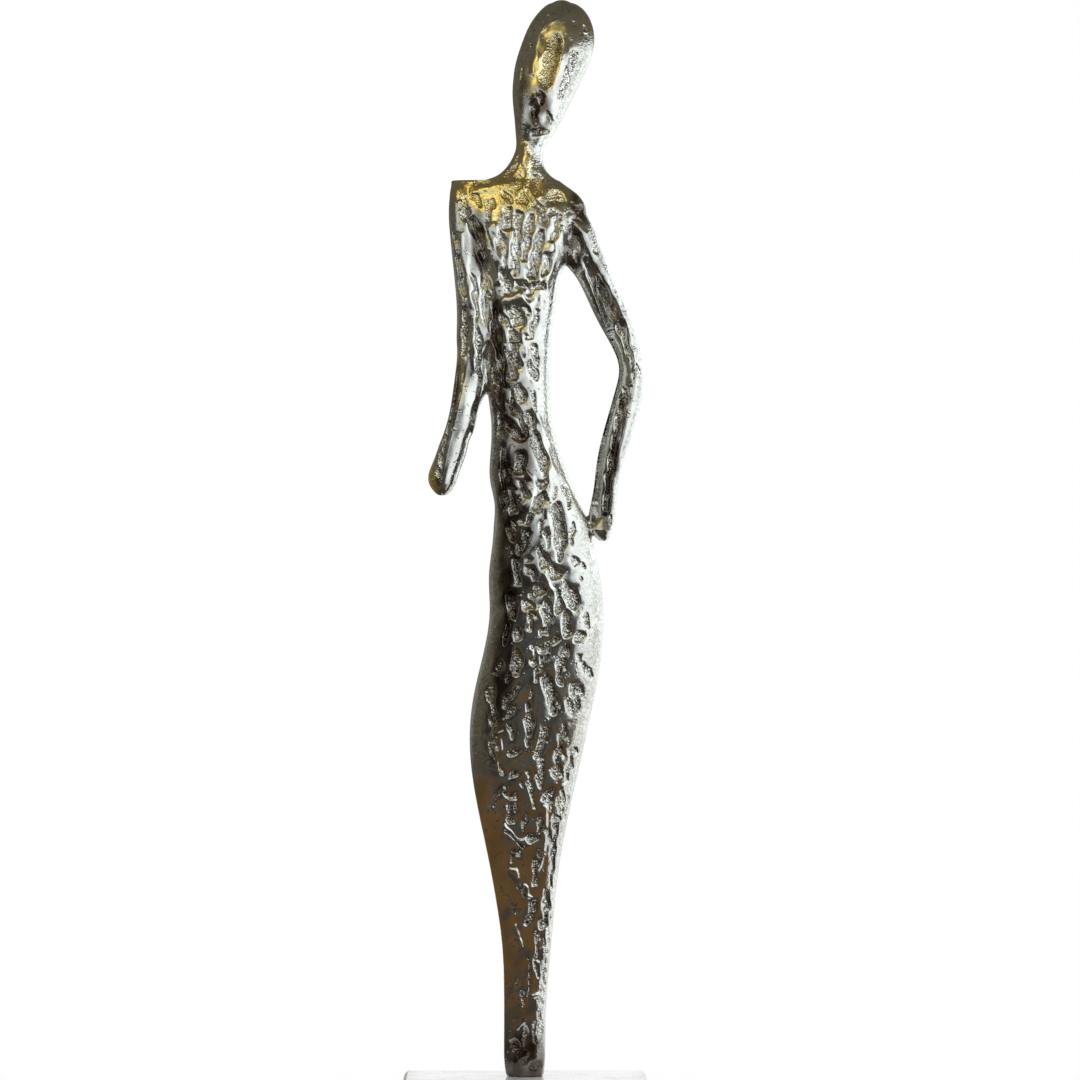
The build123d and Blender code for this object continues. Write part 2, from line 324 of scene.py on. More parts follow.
# Ridges that were drawn onto the pattern: width, height, line.
ridges = [
    (4.0, 0.7, (18.5, 589.5), (13.0, 588), (8.0, 581), (6.5, 570), (4.5, 560)),
    (6.0, 0.5, (22.5, 590.5), (23.0, 587)),
    (3.6, 0.8, (20.5, 577), (19.0, 566), (15.0, 553)),
    (3.6, 0.8, (5.5, 546), (8.0, 546.5)),
    (3.2, 0.9, (0.3, 519), (1.0, 506), (0.0, 496), (4.0, 489)),
    (3.0, 0.7, (9.5, 499), (9.5, 494), (7.0, 490)),
    (7.0, 0.8, (-36.5, 495), (-36.0, 491)),
    (5.0, 0.6, (-28.0, 494.5), (-16.0, 496.5), (-5.0, 498.5)),
    (3.4, 0.8, (-36.5, 470), (-34.0, 455), (-31.0, 440), (-28.5, 428), (-28.0, 410), (-27.5, 394)),
    (4.0, 0.8, (-18.0, 475), (-18.5, 463), (-15.0, 452), (-14.5, 444)),
    (3.4, 0.8, (-7.5, 472), (-9.0, 462), (-8.0, 450)),
    (3.4, 0.8, (15.0, 465), (10.5, 453), (7.5, 445)),
    (4.0, 1.0, (24.5, 476), (18.5, 466), (16.0, 455), (12.0, 443)),
    (5.0, 0.9, (25.0, 477), (33.0, 470), (38.0, 461), (44.0, 449), (50.5, 436)),
    (4.0, 0.8, (50.5, 436), (56.0, 424), (61.5, 409), (61.0, 399)),
    (
        4.2,
        1.0,
        (-13.0, 430.5),
        (-9.0, 434.5),
        (-2.0, 434.5),
        (2.5, 431),
        (2.5, 422),
        (-0.5, 413),
        (-1.5, 400),
    ),
    (3.4, 0.7, (9.5, 433), (5.0, 418), (1.5, 410)),
    (3.2, 0.8, (-19.5, 432), (-20.0, 418), (-16.5, 404), (-15.0, 392)),
    (4.0, 0.9, (5.5, 374), (8.5, 364), (12.0, 352), (15.0, 340), (13.5, 325)),
    (3.4, 0.8, (1.5, 337), (4.5, 332), (3.5, 323), (0.0, 318)),
    (3.4, 0.8, (14.0, 320), (13.5, 311), (10.0, 303)),
    (2.4, 0.8, (11.0, 280), (14.0, 275), (15.0, 272)),
    (2.6, 0.7, (0.5, 258.5), (5.0, 260), (9.0, 262)),
    (2.4, 0.7, (-20.0, 190), (-16.0, 195), (-12.0, 199.5)),
    (2.8, 0.6, (-13.5, 192), (-14.5, 183), (-18.0, 174)),
    (2.4, 0.7, (-19.5, 150), (-16.5, 155), (-11.5, 160.5)),
    (2.4, 0.9, (-11.5, 139.5), (-7.0, 135.5), (-3.0, 132.5), (0.5, 131)),
    (2.0, 0.5, (-3.0, 124), (-5.0, 121.5), (-8.0, 120)),
    (2.2, 0.9, (-7.0, 115.5), (-3.0, 108), (1.0, 102.5), (3.0, 100.5)),
    (2.0, 0.8, (-4.0, 84), (-4.5, 77.5), (-2.0, 73.5)),
    (2.4, 0.8, (22.5, 163), (18.5, 140), (16.5, 120), (15.5, 104), (13.0, 86), (11.0, 66)),
    (2.2, 0.7, (11.5, 150), (11.0, 135), (8.5, 122), (6.0, 112)),
    (2.4, 0.8, (4.5, 45), (9.0, 45.5)),
    (2.2, 0.6, (-8.0, 21), (-4.0, 28.5), (1.0, 32)),
    (2.2, 0.6, (-2.5, 10.5), (1.0, 14)),
]

# The crests of the arms as (height, across) in mm, and how steeply each falls away to its
# left and to its right, in mm a mm.
hanging_crest = [(288, -48.5), (305, -48.5), (345, -44.5), (370, -39.0), (405, -33.0)]
hanging_falls = (0.10, 0.36)
bent_crest = [
    (305, 49.5),
    (325, 50.5),
    (345, 53.0),
    (365, 57.0),
    (385, 62.0),
    (400, 62.5),
    (420, 58.0),
    (440, 51.0),
    (458, 43.5),
]
bent_falls = (0.58, 0.20)

# Where a golden reflection of the warm lamp is painted into the metal's colour: across, height, half width,
# half height, strength.
painted_gold_reflection_places = [
    (-14, 494, 32, 13, 0.8),
    (-2, 512, 7, 18, 0.5),
    (17, 492, 9, 8, 0.4),
    (14, 568, 6.5, 18, 0.55),
    (7, 561, 4, 10, 0.8),
    (-53, 316, 7, 32, 0.85),
    (-36, 392, 4, 22, 0.4),
]

# Where dark shade and dark reflections are painted into the metal's colour, given in the same way.
painted_shade_places = [
    (-26, 466, 5, 20, 1.0),
    (-16, 415, 5, 28, 1.0),
    (-11, 378, 8, 32, 1.0),
    (-10, 330, 7, 35, 1.05),
    (-2, 345, 8, 26, 0.9),
    (-2, 306, 8, 20, 0.85),
    (-9, 280, 7, 45, 1.1),
    (-12, 225, 7, 40, 0.9),
    (3, 285, 7, 18, 0.55),
    (27, 462, 7, 16, 0.9),
    (33, 486, 10, 12, 1.0),
    (42, 432, 5, 30, 0.7),
    (54, 368, 3, 13, 1.1),
    (50.5, 347, 3, 15, 1.1),
    (47, 326, 3, 15, 1.1),
    (45, 310, 2.5, 9, 1.0),
    (-40, 394, 4, 34, 0.8),
    (17, 575, 5, 7, 0.6),
    (8, 538, 8, 14, 1.1),
    (0, 547, 4, 14, 0.8),
    (0, 8, 16, 20, 1.2),
]

# Where the polish never reached, given in the same way.
rough_places = [
    (-53, 314, 7, 34, 0.8),
]

# The back has no drawing to follow, so its hollows are scattered in rows: long ones that
# lean either way, about as close together as those of the front.
back_row = 17.0
back_column = 9.5
chance = np.random.default_rng(24)
back_hollows = []
for row in range(1, 34):
    for column in range(-6, 8):
        across = (column + 0.5 * (row % 2)) * back_column + chance.uniform(-1.6, 1.6)
        height = row * back_row + chance.uniform(-3, 3)
        lean = chance.uniform(-2.6, 2.6)
        length = chance.uniform(3, 9)
        width = chance.uniform(4.6, 7.6)
        depth = chance.uniform(0.9, 1.7)
        low_end = (across - lean, height - length)
        high_end = (across + lean, height + length)
        back_hollows.append((width, depth, low_end, high_end))

front_hollows = (
    head_hollows
    + shoulder_hollows
    + chest_hollows
    + waist_hollows
    + hip_hollows
    + skirt_hollows
    + leg_hollows
    + arm_hollows
)


def waves(across, height, length, seed):
    """Smooth wandering values between about -1 and 1, for points given in mm."""
    draw = np.random.default_rng(seed)
    total = np.zeros_like(across)
    for _ in range(5):
        turn = draw.uniform(0, 2 * math.pi)
        step = 2 * math.pi / (length * draw.uniform(0.7, 1.4))
        start = draw.uniform(0, 2 * math.pi)
        total += np.sin((across * math.cos(turn) + height * math.sin(turn)) * step + start)
    return total / 3


def distance_to_line(across, height, line):
    """From each point to a line of places: the gap, how far along, and the lean of the gap.

    The lean is the gap towards the right and down, where a hollow is deepest.
    """
    nearest = np.full(across.shape, 1e9)
    along = np.zeros(across.shape)
    lean = np.zeros(across.shape)
    runs = list(zip(line[:-1], line[1:]))
    lengths = [math.dist(start, end) for start, end in runs]
    passed = 0.0
    for ((x1, h1), (x2, h2)), length in zip(runs, lengths):
        run = np.array((x2 - x1, h2 - h1))
        share = ((across - x1) * run[0] + (height - h1) * run[1]) / max(run @ run, 1e-9)
        share = np.clip(share, 0, 1)
        right = across - x1 - share * run[0]
        up = height - h1 - share * run[1]
        gap = np.hypot(right, up)
        closer = gap < nearest
        along = np.where(closer, (passed + share * length) / sum(lengths), along)
        lean = np.where(closer, 0.85 * right - 0.53 * up, lean)
        nearest = np.minimum(nearest, gap)
        passed += length
    return nearest, along, lean


def relief(across, height, hollows, raised, seed):
    """Depth pressed into the surface in mm, and how much of each point is inside a hollow."""
    hand = np.random.default_rng(seed)
    unsteady = wobble * np.where(height > neck_level, 0.4, 1.0)
    x = across + unsteady * waves(across, height, wobble_length, 3)
    h = height + unsteady * waves(across, height, wobble_length, 4)
    pressed = np.zeros_like(x)
    inside = np.zeros_like(x)
    for width, depth, *line in hollows:
        first_end, last_end = hand.uniform(narrow_end, 1.0, 2)
        low = min(h2 for _, h2 in line) - width
        high = max(h2 for _, h2 in line) + width
        near = np.flatnonzero((h > low) & (h < high))
        gap, along, lean = distance_to_line(x[near], h[near], line)
        belly = np.sin(math.pi * np.clip(along, 0, 1)) ** 0.7
        taper = first_end + (last_end - first_end) * along
        half_width = width / 2 * narrowed * (taper + (1 - taper) * belly)
        share = gap / half_width
        tilt = lopsided * np.where(h[near] > neck_level, 0.4, 1.0)
        tilt = tilt * np.clip(lean / half_width, -1, 1)
        bowl = np.clip(1 - share**2, 0, 1)
        shoulder = np.clip(1 - (share / rim_reach) ** 2, 0, 1) ** 2
        value = depth * deepened * (bowl_share * bowl * (1 + tilt) + rim_share * shoulder)
        pressed[near] = (pressed[near] ** 5 + value**5) ** 0.2
        inside[near] = np.maximum(inside[near], np.clip(bowl * 2.0, 0, 1))
    lifted = np.zeros_like(x)
    for width, tall, *line in raised:
        low = min(h2 for _, h2 in line) - width
        high = max(h2 for _, h2 in line) + width
        near = np.flatnonzero((h > low) & (h < high))
        gap, _, _ = distance_to_line(x[near], h[near], line)
        share = gap / (width / 2 * ridge_spread)
        value = ridge_gain * tall * np.clip(1 - share**2 / 2, 0, 1) ** 2
        lifted[near] = np.maximum(lifted[near], value)
    return pressed - lifted, inside


figure = copy_of("figure_casting", "figure")
apply_modifier(figure, "REMESH", mode="VOXEL", voxel_size=voxel)
apply_modifier(figure, "SMOOTH", factor=0.5, iterations=12)

co = places(figure)
normal = facing(figure)
across = co[:, 0] / mm
height = (co[:, 2] - sole) / mm
front = normal[:, 1] < 0
calm = np.clip((height - 100) / 80, 0.65, 1) * np.clip(1.35 - np.abs(across) / 40, 0.25, 1)
swell = calm * (0.30 * waves(across, height, 23, 8) + 0.20 * waves(across, height, 9, 9))

depth = np.zeros(len(co))
inside = np.zeros(len(co))
depth[front], inside[front] = relief(across[front], height[front], front_hollows, ridges, 5)
depth[~front], inside[~front] = relief(across[~front], height[~front], back_hollows, [], 6)
side_reach = np.where(across > 0, 0.22, 0.36)
flat_on = np.clip((np.abs(normal[:, 1]) - side_reach) / 0.32, 0, 1)
flat_on = flat_on * flat_on * (3 - 2 * flat_on)
grain = waves(across, height, 2.4, 11) * waves(across, height, 3.3, 12)
grain = grain_depth * (grain + 0.7 * waves(across, height, 4.5, 13))
inward = (depth + inside * grain - swell) * flat_on
keep_sole = np.clip(height / 2.5, 0, 1)
for crest_line, falls, arm_left, arm_right in (
    (hanging_crest, hanging_falls, -40, 12),
    (bent_crest, bent_falls, -13, 40),
):
    beside = across - np.interp(height, *zip(*crest_line))
    first, last = crest_line[0][0], crest_line[-1][0]
    on_arm = front & (beside > arm_left) & (beside < arm_right) & (height > first) & (height < last)
    fade = np.clip((last - height) / 20, 0, 1) * np.clip((height - first) / 8, 0, 1)
    fall = np.where(beside > 0, falls[1], falls[0]) * (np.hypot(beside, 1.5) - 1.5)
    inward += np.where(on_arm, fall * fade, 0)
co[:, 1] += np.where(front, 1, -1) * inward * keep_sole * mm
crown_round = np.clip(1.3 - 0.05 * (across - 20.5) ** 2, 0, 2)
co[:, 2] += crown_round * np.clip((height - 595) / 4, 0, 1) * mm
figure.data.vertices.foreach_set("co", co.astype(np.float32).ravel())
figure.data.update()


def patches(places_of):
    """How much of the front is in any of the listed oval places."""
    amount = np.zeros(len(co))
    for middle, level, half_wide, half_tall, strength in places_of:
        gap = ((across - middle) / half_wide) ** 2 + ((height - level) / half_tall) ** 2
        amount = np.maximum(amount, strength * np.clip(1.7 * (1 - gap), 0, 1))
    return amount * front


worn = 0.45 * np.clip(1.4 - np.abs(height - 452) / 28, 0, 1) * front
raw = np.maximum(inside * flat_on * (1 - worn), patches(rough_places))
hollow = figure.data.attributes.new("hollow", "FLOAT", "POINT")
hollow.data.foreach_set("value", raw.astype(np.float32))
flank = figure.data.attributes.new("flank", "FLOAT", "POINT")
side_on = np.maximum(np.clip((np.abs(normal[:, 0]) - 0.35) / 0.3, 0, 1), 1 - flat_on)
side_on *= np.where(across < 0, np.clip((height - 150) / 60, 0.15, 1), 1)
raw_shoulders = np.clip((height - 478) / 8, 0, 1) * np.clip((524 - height) / 8, 0, 1)
raw_shoulders *= np.clip(0.9 + 0.5 * waves(across, height, 12, 16), 0, 1)
flank.data.foreach_set("value", np.maximum(side_on, raw_shoulders).astype(np.float32))
# Painted gold reflection: how far the metal's colour is pulled towards gold in the listed places.
painted_gold_reflection = patches(painted_gold_reflection_places)
painted_warm_reflection = figure.data.attributes.new("painted_warm_reflection", "FLOAT", "POINT")
painted_warm_reflection.data.foreach_set("value", painted_gold_reflection.astype(np.float32))
# Painted shade: an attribute that darkens the metal's colour in the deepest hollows, in the listed dark
# patches and towards the foot.
painted_shade = figure.data.attributes.new("painted_shade", "FLOAT", "POINT")
# Painted shade and dark reflections in the listed patches, varied by a slow wave.
painted_shade_patches = patches(painted_shade_places) * np.clip(0.9 + 0.6 * waves(across, height, 11, 17), 0, 1)
# Painted shade in the deepest hollows, where the recesses fall dark.
deepest_hollow_shade = np.clip((depth * flat_on - 2.2) / 1.5, 0, 1)
deepest_hollow_shade = np.maximum(deepest_hollow_shade, painted_shade_patches)
# Painted shade: the colour is darker towards the foot, where it meets the stone.
shade_near_stone = np.clip(1.5 - height / 20, 0, 1)
shade_near_stone *= np.clip(0.75 + 0.5 * waves(across, height, 14, 15), 0, 1)
painted_darkness = np.clip(np.maximum(0.95 * deepest_hollow_shade, 0.9 * shade_near_stone), 0, 1)
painted_shade.data.foreach_set("value", painted_darkness.astype(np.float32))

apply_modifier(figure, "SMOOTH", factor=0.5, iterations=1)
triangles = sum(len(face.vertices) - 2 for face in figure.data.polygons)
apply_modifier(figure, "DECIMATE", ratio=min(1, final_triangles / triangles))
for face in figure.data.polygons:
    face.use_smooth = True

metal = bpy.data.materials.new("cast_metal")
metal.use_nodes = True
nodes = metal.node_tree.nodes
link = metal.node_tree.links.new
shader = nodes["Principled BSDF"]
shader.inputs["Metallic"].default_value = 1.0

where = nodes.new("ShaderNodeTexCoord")
hollow_value = nodes.new("ShaderNodeAttribute")
hollow_value.attribute_name = "hollow"
flank_value = nodes.new("ShaderNodeAttribute")
flank_value.attribute_name = "flank"
# Of these attributes, one carries painted shade and one a painted gold reflection.
painted_shade_value = nodes.new("ShaderNodeAttribute")
painted_shade_value.attribute_name = "painted_shade"
painted_warm_reflection_value = nodes.new("ShaderNodeAttribute")
painted_warm_reflection_value.attribute_name = "painted_warm_reflection"


def noise(scale, detail=3.0, rough=0.6):
    """A noise pattern of the metal; scale is in repeats a metre."""
    texture = nodes.new("ShaderNodeTexNoise")
    texture.inputs["Scale"].default_value = scale
    texture.inputs["Detail"].default_value = detail
    texture.inputs["Roughness"].default_value = rough
    link(where.outputs["Object"], texture.inputs["Vector"])
    return texture


def ramp(source, *stops):
    """A colour ramp of the metal, from (place, colour) stops."""
    colours = nodes.new("ShaderNodeValToRGB")
    while len(colours.color_ramp.elements) < len(stops):
        colours.color_ramp.elements.new(0.5)
    for element, (place, colour) in zip(colours.color_ramp.elements, stops):
        element.position = place
        element.color = (*colour, 1)
    link(source, colours.inputs["Fac"])
    return colours


def blend(kind, factor, a, b):
    """Mix two values or colours of the metal."""
    mixer = nodes.new("ShaderNodeMix")
    mixer.data_type = kind
    for socket, value in (("Factor", factor), ("A", a), ("B", b)):
        target = next(s for s in mixer.inputs if s.name == socket and s.enabled)
        if isinstance(value, bpy.types.NodeSocket):
            link(value, target)
        else:
            target.default_value = value
    return next(s for s in mixer.outputs if s.enabled)


def larger(a, b):
    """The larger of two values of the metal."""
    chooser = nodes.new("ShaderNodeMath")
    chooser.operation = "MAXIMUM"
    link(a, chooser.inputs[0])
    link(b, chooser.inputs[1])
    return chooser.outputs[0]


cloud = noise(45, 4, 0.6)
polish = ramp(cloud.outputs["Fac"], (0.34, (0.54, 0.53, 0.51)), (0.66, (0.78, 0.775, 0.76)))
skin = noise(620, 3, 0.55)
crystals = nodes.new("ShaderNodeTexVoronoi")
crystals.inputs["Scale"].default_value = 850
link(where.outputs["Object"], crystals.inputs["Vector"])
sand = ramp(
    crystals.outputs["Color"],
    (0.1, (0.16, 0.15, 0.13)),
    (0.5, (0.62, 0.61, 0.58)),
    (0.85, (1.0, 0.99, 0.97)),
)
pinholes = ramp(noise(330, 2, 0.5).outputs["Fac"], (0.60, (0, 0, 0)), (0.68, (0.75, 0.75, 0.75)))
ground = blend("FLOAT", flank_value.outputs["Fac"], 0.0, 0.36)
tear = ramp(noise(380, 4, 0.65).outputs["Fac"], (0.30, (0, 0, 0)), (0.70, (1, 1, 1)))
ragged = blend("FLOAT", 0.35, hollow_value.outputs["Fac"], tear.outputs["Color"])
torn = ramp(ragged, (0.40, (0, 0, 0)), (0.70, (1, 1, 1)))
rawness = larger(larger(torn.outputs["Color"], ground), pinholes.outputs["Color"])
clean = blend("RGBA", rawness, polish.outputs["Color"], sand.outputs["Color"])
# Painted shade: the colour is multiplied towards a dark brown where the shade attribute is high.
painted_shade_mix = nodes.new("ShaderNodeMix")
painted_shade_mix.data_type = "RGBA"
painted_shade_mix.blend_type = "MULTIPLY"
painted_shade_mix.inputs[7].default_value = (0.20, 0.16, 0.135, 1)
link(painted_shade_value.outputs["Fac"], painted_shade_mix.inputs[0])
# Painted gold reflection: the colour is mixed towards gold in the listed places.
link(blend("RGBA", painted_warm_reflection_value.outputs["Fac"], clean, (0.96, 0.78, 0.34, 1)), painted_shade_mix.inputs[6])
link(painted_shade_mix.outputs[2], shader.inputs["Base Color"])

smear = noise(160, 3, 0.6)
ridge_rough = ramp(smear.outputs["Fac"], (0.3, (0.12,) * 3), (0.7, (0.22,) * 3))
link(blend("FLOAT", rawness, ridge_rough.outputs["Color"], 0.17), shader.inputs["Roughness"])

grit = nodes.new("ShaderNodeBump")
grit.inputs["Distance"].default_value = 0.8 * mm
link(crystals.outputs["Distance"], grit.inputs["Height"])
link(blend("FLOAT", rawness, 0.01, 0.6), grit.inputs["Strength"])
fine = nodes.new("ShaderNodeBump")
fine.inputs["Distance"].default_value = 0.5 * mm
link(skin.outputs["Fac"], fine.inputs["Height"])
link(blend("FLOAT", rawness, 0.04, 0.7), fine.inputs["Strength"])
link(grit.outputs["Normal"], fine.inputs["Normal"])
link(fine.outputs["Normal"], shader.inputs["Normal"])

figure.data.materials.append(metal)
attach(figure, "root")
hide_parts("figure_casting")


# ---------------------------------------------------------------- stone base
# A sawn and polished block of white marble with soft grey veins, its top edges chamfered.
# It is bored through for the stud, and a pocket underneath takes the nut.
marble = bpy.data.materials.new("white_marble")
marble.use_nodes = True
marble_nodes = marble.node_tree.nodes
marble_link = marble.node_tree.links.new
marble_shader = marble_nodes["Principled BSDF"]
marble_shader.inputs["Coat Weight"].default_value = 0.4
marble_shader.inputs["Coat Roughness"].default_value = 0.06

marble_place = marble_nodes.new("ShaderNodeTexCoord")
marble_turn = marble_nodes.new("ShaderNodeMapping")
marble_turn.inputs["Rotation"].default_value = (0.4, 0.3, 0.7)
marble_turn.inputs["Scale"].default_value = (1, 1.6, 1)
marble_link(marble_place.outputs["Object"], marble_turn.inputs["Vector"])
drift = marble_nodes.new("ShaderNodeTexNoise")
drift.inputs["Scale"].default_value = 14
drift.inputs["Detail"].default_value = 5
marble_link(marble_turn.outputs["Vector"], drift.inputs["Vector"])
bent = marble_nodes.new("ShaderNodeVectorMath")
bent.operation = "MULTIPLY_ADD"
bent.inputs[1].default_value = (0.05, 0.05, 0.05)
marble_link(drift.outputs["Color"], bent.inputs[0])
marble_link(marble_turn.outputs["Vector"], bent.inputs[2])
vein = marble_nodes.new("ShaderNodeTexNoise")
vein.inputs["Scale"].default_value = 22
vein.inputs["Detail"].default_value = 6
vein.inputs["Roughness"].default_value = 0.55
marble_link(bent.outputs["Vector"], vein.inputs["Vector"])
vein_shade = marble_nodes.new("ShaderNodeValToRGB")
vein_stops = (
    (0.38, (0.86, 0.86, 0.85)),
    (0.47, (0.80, 0.80, 0.79)),
    (0.495, (0.52, 0.53, 0.54)),
    (0.52, (0.82, 0.82, 0.81)),
    (0.66, (0.89, 0.885, 0.87)),
)
while len(vein_shade.color_ramp.elements) < len(vein_stops):
    vein_shade.color_ramp.elements.new(0.5)
for element, (place, shade) in zip(vein_shade.color_ramp.elements, vein_stops):
    element.position = place
    element.color = (*shade, 1)
marble_link(vein.outputs["Fac"], vein_shade.inputs["Fac"])
cloudy = marble_nodes.new("ShaderNodeTexNoise")
cloudy.inputs["Scale"].default_value = 40
cloudy.inputs["Detail"].default_value = 3
marble_link(marble_place.outputs["Object"], cloudy.inputs["Vector"])
cloud_shade = marble_nodes.new("ShaderNodeMix")
cloud_shade.data_type = "RGBA"
cloud_shade.blend_type = "MULTIPLY"
cloud_shade.inputs[7].default_value = (0.93, 0.935, 0.945, 1)
marble_link(cloudy.outputs["Fac"], cloud_shade.inputs[0])
marble_link(vein_shade.outputs["Color"], cloud_shade.inputs[6])
marble_link(cloud_shade.outputs[2], marble_shader.inputs["Base Color"])
crystal = marble_nodes.new("ShaderNodeTexVoronoi")
crystal.inputs["Scale"].default_value = 900
marble_link(marble_place.outputs["Object"], crystal.inputs["Vector"])
crystal_rough = marble_nodes.new("ShaderNodeMapRange")
crystal_rough.inputs["To Min"].default_value = 0.16
crystal_rough.inputs["To Max"].default_value = 0.30
marble_link(crystal.outputs["Distance"], crystal_rough.inputs["Value"])
marble_link(crystal_rough.outputs["Result"], marble_shader.inputs["Roughness"])


def finish_node(node, material):
    """Give a CAD node that stays as it is one material all over."""
    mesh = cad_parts[node].data
    mesh.materials.clear()
    mesh.materials.append(material)


finish_node("base_block", marble)


# ---------------------------------------------------------------- gasket
# A punched ring of red-brown vulcanised fibre in the roof of the pocket. It keeps the
# steel washer from chipping the stone when the nut is tightened.
def speckle_group():
    """The fine random speckle that the small parts share, as a node group with one mask."""
    group = bpy.data.node_groups.new("fine_speckle", "ShaderNodeTree")
    group.interface.new_socket("Scale", in_out="INPUT", socket_type="NodeSocketFloat")
    group.interface.new_socket("Stretch", in_out="INPUT", socket_type="NodeSocketVector")
    group.interface.new_socket("Mask", in_out="OUTPUT", socket_type="NodeSocketFloat")
    entry = group.nodes.new("NodeGroupInput")
    leave = group.nodes.new("NodeGroupOutput")
    place = group.nodes.new("ShaderNodeTexCoord")
    stretched = group.nodes.new("ShaderNodeVectorMath")
    stretched.operation = "MULTIPLY"
    group.links.new(place.outputs["Object"], stretched.inputs[0])
    group.links.new(entry.outputs["Stretch"], stretched.inputs[1])
    fleck = group.nodes.new("ShaderNodeTexNoise")
    fleck.inputs["Detail"].default_value = 4
    fleck.inputs["Roughness"].default_value = 0.65
    group.links.new(stretched.outputs["Vector"], fleck.inputs["Vector"])
    group.links.new(entry.outputs["Scale"], fleck.inputs["Scale"])
    group.links.new(fleck.outputs["Fac"], leave.inputs["Mask"])
    return group


fine_speckle = speckle_group()


def speckled_material(name, dark, light, rough, scale, stretch, height, metallic=0.0):
    """A material whose colour, gloss and fine relief all follow one speckle."""
    material = bpy.data.materials.new(name)
    material.use_nodes = True
    tree = material.node_tree
    body = tree.nodes["Principled BSDF"]
    body.inputs["Metallic"].default_value = metallic
    speckle = tree.nodes.new("ShaderNodeGroup")
    speckle.node_tree = fine_speckle
    speckle.inputs["Scale"].default_value = scale
    speckle.inputs["Stretch"].default_value = stretch
    shades = tree.nodes.new("ShaderNodeValToRGB")
    shades.color_ramp.elements[0].position = 0.35
    shades.color_ramp.elements[0].color = (*dark, 1)
    shades.color_ramp.elements[1].position = 0.65
    shades.color_ramp.elements[1].color = (*light, 1)
    gloss = tree.nodes.new("ShaderNodeMapRange")
    gloss.inputs["From Min"].default_value = 0.3
    gloss.inputs["From Max"].default_value = 0.7
    gloss.inputs["To Min"].default_value = rough[0]
    gloss.inputs["To Max"].default_value = rough[1]
    bumps = tree.nodes.new("ShaderNodeBump")
    bumps.inputs["Distance"].default_value = height
    bumps.inputs["Strength"].default_value = 0.7
    tree.links.new(speckle.outputs["Mask"], shades.inputs["Fac"])
    tree.links.new(speckle.outputs["Mask"], gloss.inputs["Value"])
    tree.links.new(speckle.outputs["Mask"], bumps.inputs["Height"])
    tree.links.new(shades.outputs["Color"], body.inputs["Base Color"])
    tree.links.new(gloss.outputs["Result"], body.inputs["Roughness"])
    tree.links.new(bumps.outputs["Normal"], body.inputs["Normal"])
    return material


red_fibre = speckled_material(
    "red_fibre",
    dark=(0.10, 0.022, 0.012),
    light=(0.19, 0.05, 0.026),
    rough=(0.6, 0.8),
    scale=900,
    stretch=(1, 1, 3),
    height=0.15 * mm,
)
finish_node("stone_gasket", red_fibre)


# ---------------------------------------------------------------- washers, nut and pin
# Zinc-plated steel: a plain washer, a split spring washer and a hexagon nut pull the stud
# up against the stone. A turned pin beside the stud keeps the figure from twisting.
zinc = speckled_material(
    "zinc_plate",
    dark=(0.50, 0.51, 0.50),
    light=(0.68, 0.69, 0.68),
    rough=(0.24, 0.40),
    scale=700,
    stretch=(1, 1, 1),
    height=0.05 * mm,
    metallic=1.0,
)
for node in ("plain_washer", "spring_washer", "hex_nut"):
    finish_node(node, zinc)
turned_steel = speckled_material(
    "turned_steel",
    dark=(0.46, 0.45, 0.44),
    light=(0.62, 0.61, 0.60),
    rough=(0.20, 0.34),
    scale=300,
    stretch=(1, 1, 12),
    height=0.04 * mm,
    metallic=1.0,
)
finish_node("locating_pin", turned_steel)


# ---------------------------------------------------------------- fixing stud
# A length of M6 zinc-plated stud, its thread rolled from end to end and both ends
# chamfered. It screws into the foot of the casting and hangs through the stone.
thread_pitch = 1.0 * mm
thread_depth = 0.61 * mm
thread_steps = 32
stud_low, stud_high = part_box("fixing_stud")
stud_radius = (stud_high.x - stud_low.x) / 2
stud_middle = (stud_low + stud_high) / 2
root_radius = stud_radius - thread_depth

crest = 0.125 * thread_pitch
flank_rise = 0.3125 * thread_pitch
tooth = [
    (root_radius, 0, 0),
    (stud_radius, 0, flank_rise),
    (stud_radius, 0, flank_rise + crest),
    (root_radius, 0, 2 * flank_rise + crest),
    (root_radius, 0, thread_pitch),
]
stud = bpy.data.objects.new("threaded_stud", bpy.data.meshes.new("threaded_stud"))
bpy.context.scene.collection.objects.link(stud)
stud.data.from_pydata(tooth, [(0, 1), (1, 2), (2, 3), (3, 4)], [])
turns = math.ceil((stud_high.z - stud_low.z) / thread_pitch) + 3
apply_modifier(
    stud,
    "SCREW",
    angle=2 * math.pi,
    screw_offset=thread_pitch,
    iterations=turns,
    steps=thread_steps,
    render_steps=thread_steps,
    use_merge_vertices=True,
    merge_threshold=0.001 * mm,
)
stud.location = (stud_middle.x, stud_middle.y, stud_low.z - 1.5 * thread_pitch)
bpy.ops.object.transform_apply(location=True, rotation=False, scale=False)
bpy.ops.object.mode_set(mode="EDIT")
bpy.ops.mesh.select_all(action="SELECT")
bpy.ops.mesh.remove_doubles(threshold=0.002 * mm)
for level_cut, way in ((stud_low.z, -1), (stud_high.z, 1)):
    bpy.ops.mesh.select_all(action="SELECT")
    bpy.ops.mesh.bisect(
        plane_co=(0, 0, level_cut), plane_no=(0, 0, way), clear_outer=True, clear_inner=False, use_fill=True
    )
bpy.ops.mesh.select_all(action="SELECT")
bpy.ops.mesh.normals_make_consistent(inside=False)
bpy.ops.object.mode_set(mode="OBJECT")
